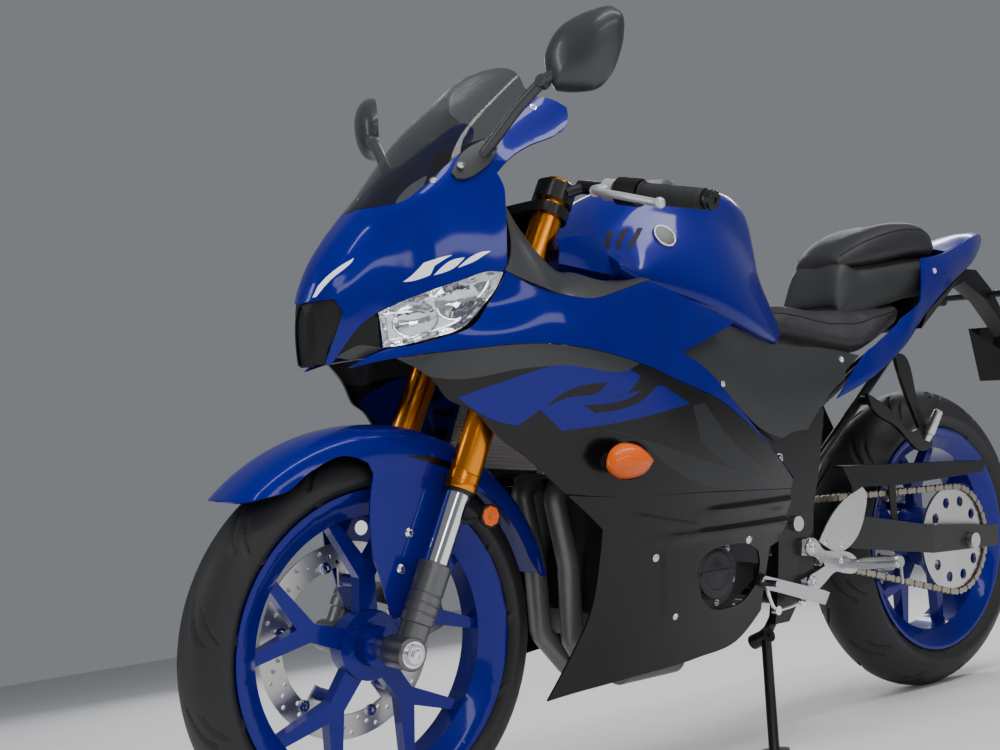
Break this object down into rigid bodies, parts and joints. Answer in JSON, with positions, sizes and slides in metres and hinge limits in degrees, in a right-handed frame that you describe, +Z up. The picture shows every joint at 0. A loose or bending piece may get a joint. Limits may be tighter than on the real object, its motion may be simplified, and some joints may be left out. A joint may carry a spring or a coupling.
{
  "type": "sport motorcycle",
  "caption": "Full-size road sport motorcycle with full fairing, turning wheels, steering, folding side stand and hinged fuel cap, leaning on its stand.",
  "frame": {"origin": "on the ground, under the middle of the leaning machine's bounding box", "axes": "+X is forwards, +Y is to the rider's left, +Z is up; the machine leans 10 degrees to +Y on its stand"},
  "size_m": [2.09, 0.74, 1.2326],
  "materials": {
    "amber_lens": "clear amber",
    "black_panel": "gloss black",
    "black_plastic": "satin black",
    "black_steel": "satin black paint",
    "blue_paint": "deep gloss paint",
    "blue_panel": "deep gloss paint on moulded plastic",
    "bright_alloy": "satin",
    "chain_steel": "oiled",
    "clear_lens": "clear",
    "engine_gray": "cast and painted",
    "gold_tube": "gold anodised",
    "gray_plastic": "matte gray",
    "gray_steel": "dull",
    "grip_rubber": "ribbed",
    "gunmetal": "dark anodised",
    "mirror_silver": "bright",
    "red_lens": "clear red",
    "seat_cover": "grained vinyl",
    "smoke_screen": "smoke tint",
    "steel": "brushed",
    "tyre": "rubber"
  },
  "bodies": {
    "chassis": {"chain_guard": "black_plastic", "drive_chain": "chain_steel", "drive_sprocket": "steel", "engine_block": "engine_gray", "engine_covers": "gunmetal", "exhaust_header": "gray_steel", "foot_levers": "bright_alloy", "footrests": "bright_alloy", "frame": "black_steel", "fuel_tank": "blue_paint", "headlight_lenses": "clear_lens", "headlight_reflectors": "mirror_silver", "indicators": "amber_lens", "inner_panels": "gray_plastic", "instrument": "black_plastic", "lower_cowls": "black_panel", "middle_fairings": "black_panel", "mirrors": "black_plastic", "muffler": "black_steel", "nose_duct": "black_plastic", "pillion_base": "gray_plastic", "pivot_bolt_and_rear_axle": "bright_alloy", "plate_bracket": "black_plastic", "radiator": "black_steel", "rear_caliper": "gunmetal", "rear_shock": "black_steel", "seats": "seat_cover", "side_covers": "black_plastic", "side_fairings": "blue_panel", "subframes": "black_steel", "swingarm": "black_steel", "tail_cowls": "blue_panel", "tail_light": "red_lens", "tail_tray": "black_plastic", "upper_cowl": "blue_panel", "windscreen": "smoke_screen"},
    "steering": {"fork_clamps": "black_steel", "fork_legs": "gunmetal", "fork_tubes": "gold_tube", "front_axle": "bright_alloy", "front_caliper": "gunmetal", "front_fender": "blue_panel", "grips": "grip_rubber", "handlebars": "black_steel", "levers": "bright_alloy", "reflectors": "amber_lens", "switch_boxes": "black_plastic"},
    "front_wheel": {"front_tyre": "tyre", "front_rim": "blue_paint", "front_brake_disc": "steel"},
    "rear_wheel": {"rear_tyre": "tyre", "rear_rim": "blue_paint", "rear_brake_disc": "steel", "rear_sprocket": "steel"},
    "stand": {"side_stand": "black_steel"},
    "cap": {"fuel_cap": "bright_alloy"}
  },
  "joints": [
    {"name": "steering", "type": "hinge", "parent": "chassis", "child": "steering", "pos_m": [0.50991, -0.04131, 0.71555], "axis": [-0.4226, 0.1574, 0.8925], "range_deg": [-34, 34]},
    {"name": "front_wheel_spin", "type": "hinge", "parent": "steering", "child": "front_wheel", "pos_m": [0.753, -0.11651, 0.28909], "axis": [0, 0.9848, -0.1736], "continuous": true},
    {"name": "rear_wheel_spin", "type": "hinge", "parent": "chassis", "child": "rear_wheel", "pos_m": [-0.627, -0.11286, 0.30977], "axis": [0, 0.9848, -0.1736], "continuous": true},
    {"name": "side_stand_swing", "type": "hinge", "parent": "chassis", "child": "stand", "pos_m": [0.015, -0.01344, 0.18257], "axis": [0, 0.9613, 0.2756], "range_deg": [0, 108]},
    {"name": "fuel_cap_hinge", "type": "hinge", "parent": "chassis", "child": "cap", "pos_m": [0.169, 0.00947, 1.00356], "axis": [0, 0.9848, -0.1736], "range_deg": [0, 95]}
  ]
}
